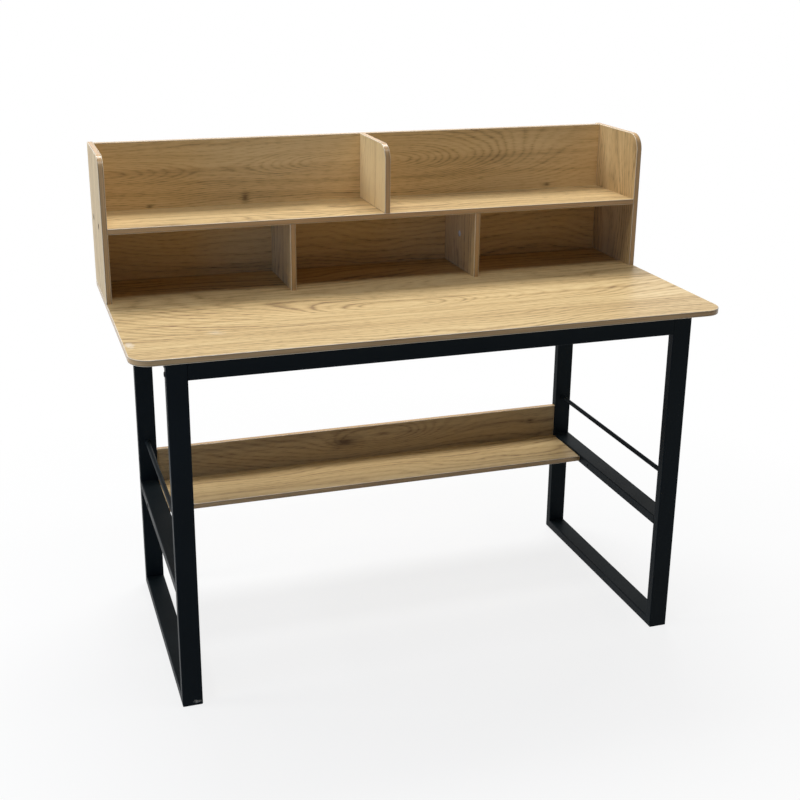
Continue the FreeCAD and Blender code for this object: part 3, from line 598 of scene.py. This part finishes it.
# its middle and gain make the board darker: painted shade under the desktop
lowerBackBoard = {"node": "lower_back_board", "thin": "Y", "grain": "X", "across": "Z",
                  "shift": (1.71, 0.39), "middle": 0.58, "paintedLightGain": 0.88, "contrast": 0.75,
                  "marks": ((-0.052, 0.304, 0.95, 0.030, 0.011, 2.0), (0.43, 0.305, 0.92, 0.011, 0.0045, 0.8),
                            (0.05, 0.312, 0.0, 0.14, 0.035, 9.0))}
makeBoard(lowerBackBoard)
print("boards made")


# steel frame and hidden hardware keep their solids
frameNodes = [name for name in nodes if name.split("_", 1)[0] in ("left", "right", "front", "rear")]
for name in frameNodes + ["apron_end_plates"]:
    paint(name, coatBlack)
paint("left_front_post", coatScuffed)
for name in ("desktop_screws", "hutch_base_screws", "upper_divider_screws", "divider_bolts"):
    paint(name, zinc)
paint("wood_dowels", beech)
paint("floor_glides", glidePlastic)
print("frame painted:", len(frameNodes), "tubes and rods")


# screws and bolts: one head of each kind is turned here, then set on every spot by the node tree
turning = {"steps": 48, "tip": 0.55, "taper": 0.6, "domeRings": 5, "lip": 0.06, "floor": 0.4, "crossArm": 0.2,
           "sharpAbove": math.radians(35)}


def hexReach(turn, size):
    # distance to a hexagon's side, size across its flats
    return size / 2 / math.cos((turn + math.pi / 6) % (math.pi / 3) - math.pi / 6)


def crossReach(turn, size):
    # a cross recess with narrow arms; the sine is kept off zero
    lean = (turn + math.pi / 4) % (math.pi / 2) - math.pi / 4
    halfArm = turning["crossArm"] * size / 2
    return min(size / 2 / math.cos(lean), halfArm / max(abs(math.sin(lean)), 0.001))


def turnScrew(name, screw):
    # rings from the shank's end up over the head and down into the drive recess; z = 0 is the seat
    steps = turning["steps"]
    reach = {"hex": hexReach, "cross": crossReach}[screw["drive"]]
    shank, head, rise, rim = screw["shank"] / 2, screw["head"] / 2, screw["rise"], screw["rim"]
    size, deep = screw["driveSize"], screw["driveDepth"]
    rings = [(turning["tip"] * shank, -screw["length"], None),
             (shank, turning["taper"] * shank - screw["length"], None),
             (shank, 0.0, None), (head, 0.0, None), (head, rim * rise, None)]
    for bend in range(1, turning["domeRings"] + 1):
        turn = bend * math.pi / 2 / turning["domeRings"]
        width = head - screw["dome"] * head * (1 - math.cos(turn))
        rings.append((width, rise * (rim + (1 - rim) * math.sin(turn)), None))
    lip = turning["lip"] * size
    rings += [(size + lip, rise, reach), (size, rise - lip, reach), (size, rise - deep, reach),
              (turning["floor"] * size, rise - deep, reach)]
    shape = bmesh.new()
    loops = []
    for radius, level, outline in rings:
        loop = []
        for step in range(steps):
            turn = 2 * math.pi * step / steps
            away = outline(turn, radius) if outline else radius
            loop.append(shape.verts.new((away * math.cos(turn), away * math.sin(turn), level)))
        loops.append(loop)
    for below, above in zip(loops, loops[1:]):
        for step in range(steps):
            ahead = (step + 1) % steps
            shape.faces.new((below[step], below[ahead], above[ahead], above[step]))
    shape.faces.new(list(reversed(loops[0])))
    shape.faces.new(loops[-1])
    bmesh.ops.recalc_face_normals(shape, faces=shape.faces)
    mesh = toMesh(shape, name)
    smooth(mesh, turning["sharpAbove"])
    return addObject(name, mesh)


def buildScrewTree():
    tree = bpy.data.node_groups.new("setScrews", "GeometryNodeTree")
    addSockets(tree, "INPUT", {"Spots": "Geometry", "Screw": "Object", "Turn Seed": "Int",
                               "Finish": "Material"})
    addSockets(tree, "OUTPUT", {"Screws": "Geometry"})
    entry = addNode(tree, "NodeGroupInput").outputs
    outward = addNode(tree, "GeometryNodeInputNamedAttribute", {"Name": "outward"}, data_type="FLOAT_VECTOR")
    facing = addNode(tree, "FunctionNodeAlignRotationToVector", {"Vector": outward.outputs["Attribute"]},
                     axis="Z")
    spin = addNode(tree, "FunctionNodeRandomValue", {"Seed": entry["Turn Seed"]}, data_type="FLOAT")
    spin.inputs[3].default_value = 2 * math.pi    # the largest number; the least stays 0
    turned = addNode(tree, "ShaderNodeCombineXYZ", {"Z": spin.outputs[1]})
    driven = addNode(tree, "FunctionNodeEulerToRotation", {0: turned.outputs[0]})
    both = addNode(tree, "FunctionNodeRotateRotation", {0: facing.outputs[0], 1: driven.outputs[0]},
                   rotation_space="LOCAL")
    source = addNode(tree, "GeometryNodeObjectInfo", {"Object": entry["Screw"]})
    placed = addNode(tree, "GeometryNodeInstanceOnPoints",
                     {"Points": entry["Spots"], "Rotation": both.outputs[0],
                      "Instance": source.outputs["Geometry"]})
    real = addNode(tree, "GeometryNodeRealizeInstances", {0: placed.outputs[0]})
    done = addNode(tree, "GeometryNodeSetMaterial",
                   {"Geometry": real.outputs[0], "Material": entry["Finish"]})
    addNode(tree, "NodeGroupOutput", {0: done.outputs[0]})
    return tree


def bakeTree(host, tree, values):
    # runs the node tree once on the host and hands back the plain mesh
    change = host.modifiers.new("tree", "NODES")
    change.node_group = tree
    for item in tree.interface.items_tree:
        if item.in_out == "INPUT" and item.name in values:
            change[item.identifier] = values[item.name]
    mesh = plainMesh(host)
    host.modifiers.remove(change)
    return mesh


screwTree = buildScrewTree()


def setScrews(node, screw, spots, finish):
    # spots are pairs: the point on the seat, and the way the head faces
    mesh = bpy.data.meshes.new(node + "_spots")
    mesh.from_pydata([spot for spot, way in spots], [], [])
    outward = mesh.attributes.new("outward", "FLOAT_VECTOR", "POINT")
    for number, (spot, way) in enumerate(spots):
        outward.data[number].vector = way
    host = addObject(node + "_spots", mesh)
    master = turnScrew(node + "_one", screw)
    result = bakeTree(host, screwTree, {"Screw": master, "Turn Seed": screw["seed"], "Finish": finish})
    bpy.data.objects.remove(host)
    bpy.data.objects.remove(master)
    result.name = node + "_set"
    piece = addPiece(node + "_set", result)
    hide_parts(node)


outerFace = {-1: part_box("left_front_post")[0][0], 1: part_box("right_front_post")[1][0]}
frontRow = centreOf("left_front_post")[1]
backRow = centreOf("left_back_post")[1]

# button heads on the posts, two at each end of each apron
apronBolt = {"head": 11 * mm, "rise": 2.2 * mm, "rim": 0.25, "dome": 0.4, "shank": 6 * mm, "length": 48 * mm,
             "drive": "hex", "driveSize": 4 * mm, "driveDepth": 1.6 * mm, "pitch": 20 * mm, "lift": 3 * mm,
             "seed": 3}
apronMiddle = centreOf("front_apron")[2] + apronBolt["lift"]
boltSpots = [((outerFace[side], y, apronMiddle + half * apronBolt["pitch"] / 2), (side, 0, 0))
             for side in (-1, 1) for y in (frontRow, backRow) for half in (-1, 1)]
setScrews("apron_bolts", apronBolt, boltSpots, oxide)

# heads inside the mid rails and the back posts, behind the access holes, into the ends of the lower boards
lowerScrew = {"head": 10 * mm, "rise": 3 * mm, "rim": 0.3, "dome": 0.4, "shank": 5 * mm, "length": 33.5 * mm,
              "drive": "hex", "driveSize": 3.2 * mm, "driveDepth": 1.8 * mm, "shelfInset": 35 * mm,
              "boardInset": 22 * mm, "tubeWall": 1.5 * mm, "seed": 8}
shelfLow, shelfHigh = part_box("lower_shelf")
boardLow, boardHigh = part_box("lower_back_board")
shelfMiddle = centreOf("lower_shelf")[2]
innerSeat = {-1: shelfLow[0] - lowerScrew["tubeWall"], 1: shelfHigh[0] + lowerScrew["tubeWall"]}
shelfRows = (shelfLow[1] + lowerScrew["shelfInset"], shelfHigh[1] - lowerScrew["shelfInset"])
boardRows = (boardLow[2] + lowerScrew["boardInset"], boardHigh[2] - lowerScrew["boardInset"])
endPlaces = [(y, shelfMiddle) for y in shelfRows] + [(backRow, z) for z in boardRows]
endSpots = [((innerSeat[side], y, z), (side, 0, 0)) for side in (-1, 1) for y, z in endPlaces]
setScrews("lower_shelf_screws", lowerScrew, endSpots, oxide)

# flat heads sunk into the hutch sides
shelfScrew = {"head": 10 * mm, "rise": 1.6 * mm, "rim": 0.7, "dome": 0.12, "shank": 5 * mm, "length": 41 * mm,
              "drive": "hex", "driveSize": 4 * mm, "driveDepth": 1.2 * mm, "sunk": 3 * mm, "seed": 5}
hutchFace = {-1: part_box("hutch_left_side")[0][0] + shelfScrew["sunk"],
             1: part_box("hutch_right_side")[1][0] - shelfScrew["sunk"]}
sunkSpots = [((hutchFace[side], y, screwRecess["level"]), (side, 0, 0))
             for side in (-1, 1) for y in screwRecess["places"]]
setScrews("shelf_end_screws", shelfScrew, sunkSpots, oxide)

# pan heads on the back of the hutch and of the lower board
panScrew = {"head": 8 * mm, "rise": 2.5 * mm, "rim": 0.25, "dome": 0.45, "shank": 4 * mm, "length": 40 * mm,
            "drive": "cross", "driveSize": 4.6 * mm, "driveDepth": 1.5 * mm, "pitch": 800 * mm,
            "lowerPitch": 520 * mm, "seed": 11}
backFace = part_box("hutch_back_panel")[1][1]
shelfLevel = centreOf("hutch_shelf")[2]
dividerLevel = centreOf("hutch_left_divider")[2]
panPlaces = [(half * panScrew["pitch"] / 2, shelfLevel) for half in (-1, 1)]
panPlaces += [(centreOf("hutch_%s_divider" % side)[0], dividerLevel) for side in ("left", "right")]
panPlaces.append((0.0, centreOf("hutch_upper_divider")[2]))
panSpots = [((x, backFace, z), (0, 1, 0)) for x, z in panPlaces]
setScrews("back_panel_screws", panScrew, panSpots, oxide)
rearSpots = [((half * panScrew["lowerPitch"] / 2, boardHigh[1], shelfMiddle), (0, 1, 0)) for half in (-1, 1)]
setScrews("lower_rear_screws", panScrew, rearSpots, oxide)

# barrel nuts: the face shows in the middle bay, with a cross to turn it, and is painted near white as a
# highlight
barrelNut = {"head": 14 * mm, "rise": 9.8 * mm, "rim": 0.96, "dome": 0.06, "shank": 13.6 * mm,
             "length": 0.1 * mm, "drive": "cross", "driveSize": 7 * mm, "driveDepth": 2.2 * mm, "seed": 2}
nutSeat = {-1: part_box("hutch_left_divider")[1][0] - nutHole["depth"],
           1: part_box("hutch_right_divider")[0][0] + nutHole["depth"]}
nutSpots = [((nutSeat[side], nutMiddle[1], nutMiddle[2]), (-side, 0, 0)) for side in (-1, 1)]
setScrews("barrel_nuts", barrelNut, nutSpots, nutFaceHighlight)
screwCount = len(boltSpots + endSpots + sunkSpots + panSpots + rearSpots)
print("screws set:", screwCount, "and", len(nutSpots), "nuts")


# weld beads: short runs of overlapping puddles along each joint of the side frames
weldBead = {"pitch": 1.5 * mm, "radius": 1.7 * mm, "squash": 0.75, "least": 0.85, "most": 1.1,
            "puddleSteps": 2, "inset": 3 * mm, "ringSteps": 24, "seed": 4}


def buildWeldTree():
    tree = bpy.data.node_groups.new("layWeld", "GeometryNodeTree")
    addSockets(tree, "INPUT", {"Seam": "Geometry", "Pitch": "Float", "Radius": "Float", "Seed": "Int",
                               "Finish": "Material"})
    addSockets(tree, "OUTPUT", {"Bead": "Geometry"})
    entry = addNode(tree, "NodeGroupInput").outputs
    path = addNode(tree, "GeometryNodeMeshToCurve", {0: entry["Seam"]})
    steps = addNode(tree, "GeometryNodeResampleCurve", {"Curve": path.outputs[0], "Length": entry["Pitch"]},
                    mode="LENGTH")
    ahead = addNode(tree, "GeometryNodeInputTangent")
    facing = addNode(tree, "FunctionNodeAlignRotationToVector", {"Vector": ahead.outputs[0]}, axis="X")
    puddle = addNode(tree, "GeometryNodeMeshIcoSphere",
                     {"Radius": entry["Radius"], "Subdivisions": weldBead["puddleSteps"]})
    size = addNode(tree, "FunctionNodeRandomValue", {"Seed": entry["Seed"]}, data_type="FLOAT")
    size.inputs[2].default_value = weldBead["least"]
    size.inputs[3].default_value = weldBead["most"]
    scale = addNode(tree, "ShaderNodeCombineXYZ",
                    {"X": weldBead["squash"], "Y": size.outputs[1], "Z": size.outputs[1]})
    placed = addNode(tree, "GeometryNodeInstanceOnPoints",
                     {"Points": steps.outputs[0], "Instance": puddle.outputs[0],
                      "Rotation": facing.outputs[0], "Scale": scale.outputs[0]})
    real = addNode(tree, "GeometryNodeRealizeInstances", {0: placed.outputs[0]})
    soft = addNode(tree, "GeometryNodeSetShadeSmooth", {0: real.outputs[0]})
    done = addNode(tree, "GeometryNodeSetMaterial",
                   {"Geometry": soft.outputs[0], "Material": entry["Finish"]})
    addNode(tree, "NodeGroupOutput", {0: done.outputs[0]})
    return tree


weldTree = buildWeldTree()


def railSeams(side):
    # straight runs at the bottom and top of the mid rail's ends, at the bottom of the top rail's ends,
    # and a ring round each rod end
    runs = []
    for rail, levels in (("mid_rail", (0, 1)), ("top_rail", (0,))):
        low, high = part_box("%s_%s" % (side, rail))
        for y in (low[1], high[1]):
            for end in levels:
                z = (low, high)[end][2]
                runs.append([(low[0] + weldBead["inset"], y, z), (high[0] - weldBead["inset"], y, z)])
    low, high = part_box(side + "_guard_rod")
    x, _, z = centreOf(side + "_guard_rod")
    radius = (high[2] - low[2]) / 2
    for y in (low[1], high[1]):
        ring = []
        for step in range(weldBead["ringSteps"] + 1):
            turn = 2 * math.pi * step / weldBead["ringSteps"]
            ring.append((x + radius * math.cos(turn), y, z + radius * math.sin(turn)))
        runs.append(ring)
    return runs


for side in ("left", "right"):
    points, edges = [], []
    for run in railSeams(side):
        edges += [(len(points) + step, len(points) + step + 1) for step in range(len(run) - 1)]
        points += run
    seam = bpy.data.meshes.new(side + "_seam")
    seam.from_pydata(points, edges, [])
    host = addObject(side + "_seam", seam)
    bead = bakeTree(host, weldTree, {"Pitch": weldBead["pitch"], "Radius": weldBead["radius"],
                                     "Seed": weldBead["seed"], "Finish": coatBlack})
    bpy.data.objects.remove(host)
    bead.name = side + "_weld_beads"
    addPiece(side + "_weld_beads", bead)
print("weld beads laid")


# camera at the photograph's place; focal and middle are in pixels of the frame
view = {"place": (-0.81669, -2.42402, 1.42434), "yaw": 18.2149, "pitch": 18.5479, "roll": 0.4748,
        "focal": 1253.5, "middle": (391.1156, 367.5566), "frame": 800, "sensor": 36.0}
cameraData = bpy.data.cameras.new("camera")
cameraData.sensor_width = view["sensor"]
cameraData.lens = view["focal"] / view["frame"] * view["sensor"]
cameraData.shift_x = 0.5 - view["middle"][0] / view["frame"]
cameraData.shift_y = view["middle"][1] / view["frame"] - 0.5
camera = addObject("camera", cameraData)
look = Matrix.Rotation(-math.radians(view["yaw"]), 4, "Z")
look = look @ Matrix.Rotation(math.radians(90 - view["pitch"]), 4, "X")
look = look @ Matrix.Rotation(math.radians(view["roll"]), 4, "Z")
camera.matrix_world = Matrix.Translation(view["place"]) @ look
bpy.context.scene.camera = camera
bpy.context.scene.view_settings.view_transform = "Standard"


# lamps: two high ones, behind and in front, so that the bays stay dark, one from the left and a cool fill;
# the side lamps stay out of reflections, where they would outline the tubes
lamps = {
    "backHigh": {"place": (0.2, 1.6, 3.65), "aim": (0.0, 0.1, 0.8), "size": (2.6, 1.3), "power": 117.0},
    "frontHigh": {"place": (0.05, -0.75, 3.8), "aim": (0.0, 0.1, 0.8), "size": (2.2, 0.6), "power": 28.0},
    "leftSide": {"place": (-2.9, 0.2, 1.62), "aim": (0.0, 0.15, 0.95), "size": (0.7, 0.7), "power": 24.7,
                 "glossy": False},
    "coolFill": {"place": (-2.6, -1.2, 0.85), "aim": (0.0, 0.15, 0.85), "size": (1.0, 1.0), "power": 11.2,
                 "color": (0.12, 0.42, 1.0), "glossy": False},
}
for name, lamp in lamps.items():
    data = bpy.data.lights.new(name, "AREA")
    data.shape = "RECTANGLE"
    data.size, data.size_y = lamp["size"]
    data.energy = lamp["power"]
    data.color = lamp.get("color", (1.0, 1.0, 1.0))
    light = addObject(name, data)
    light.visible_glossy = lamp.get("glossy", True)
    light.location = lamp["place"]
    light.rotation_euler = (Vector(lamp["aim"]) - Vector(lamp["place"])).to_track_quat("-Z", "Y").to_euler()


# world and floor: white to the camera and in reflections, a dim bluish level as light;
# the floor keeps the shadow near the object and fades to white further out
backdrop = {"ambient": 0.02, "sky": (0.5, 0.82, 1.35, 1.0), "white": (1.0, 1.0, 1.0, 1.0),
            "floorColor": (0.9, 0.9, 0.9, 1.0), "floorHalf": 60.0, "fadeFrom": 0.5, "fadeTo": 1.5,
            "fadeLeast": 0.82}


def showsRay(tree):
    ray = addNode(tree, "ShaderNodeLightPath").outputs
    seen = calc(tree, "MAXIMUM", ray["Is Camera Ray"], ray["Is Glossy Ray"])
    return calc(tree, "MAXIMUM", seen, ray["Is Transmission Ray"])


world = bpy.data.worlds.new("studio")
world.use_nodes = True
worldTree = world.node_tree
worldTree.nodes.clear()
dim = addNode(worldTree, "ShaderNodeBackground", {"Color": backdrop["sky"], "Strength": backdrop["ambient"]})
white = addNode(worldTree, "ShaderNodeBackground", {"Color": backdrop["white"], "Strength": 1.0})
mixed = addNode(worldTree, "ShaderNodeMixShader",
                {0: showsRay(worldTree), 1: dim.outputs[0], 2: white.outputs[0]})
addNode(worldTree, "ShaderNodeOutputWorld", {"Surface": mixed.outputs[0]})
bpy.context.scene.world = world

floorMesh = bpy.data.meshes.new("floor")
half = backdrop["floorHalf"]
floorCorners = [(-half, -half, 0), (half, -half, 0), (half, half, 0), (-half, half, 0)]
floorMesh.from_pydata(floorCorners, [], [(0, 1, 2, 3)])
floor = addObject("floor", floorMesh)
floorPaint = bpy.data.materials.new("paleFloor")
floorPaint.use_nodes = True
floorTree = floorPaint.node_tree
floorTree.nodes.clear()
floorPlace = addNode(floorTree, "ShaderNodeTexCoord").outputs["Object"]
floorAway = addNode(floorTree, "ShaderNodeVectorMath", {0: floorPlace}, operation="LENGTH").outputs["Value"]
floorFade = spread(floorTree, floorAway, backdrop["fadeFrom"], backdrop["fadeTo"], backdrop["fadeLeast"])
floorMatte = addNode(floorTree, "ShaderNodeBsdfDiffuse", {"Color": backdrop["floorColor"]})
floorWhite = addNode(floorTree, "ShaderNodeEmission", {"Color": backdrop["white"], "Strength": 1.0})
floorShown = calc(floorTree, "MULTIPLY", floorFade, showsRay(floorTree))
floorMix = addNode(floorTree, "ShaderNodeMixShader",
                   {0: floorShown, 1: floorMatte.outputs[0], 2: floorWhite.outputs[0]})
addNode(floorTree, "ShaderNodeOutputMaterial", {"Surface": floorMix.outputs[0]})
floorMesh.materials.append(floorPaint)
print("stage ready")
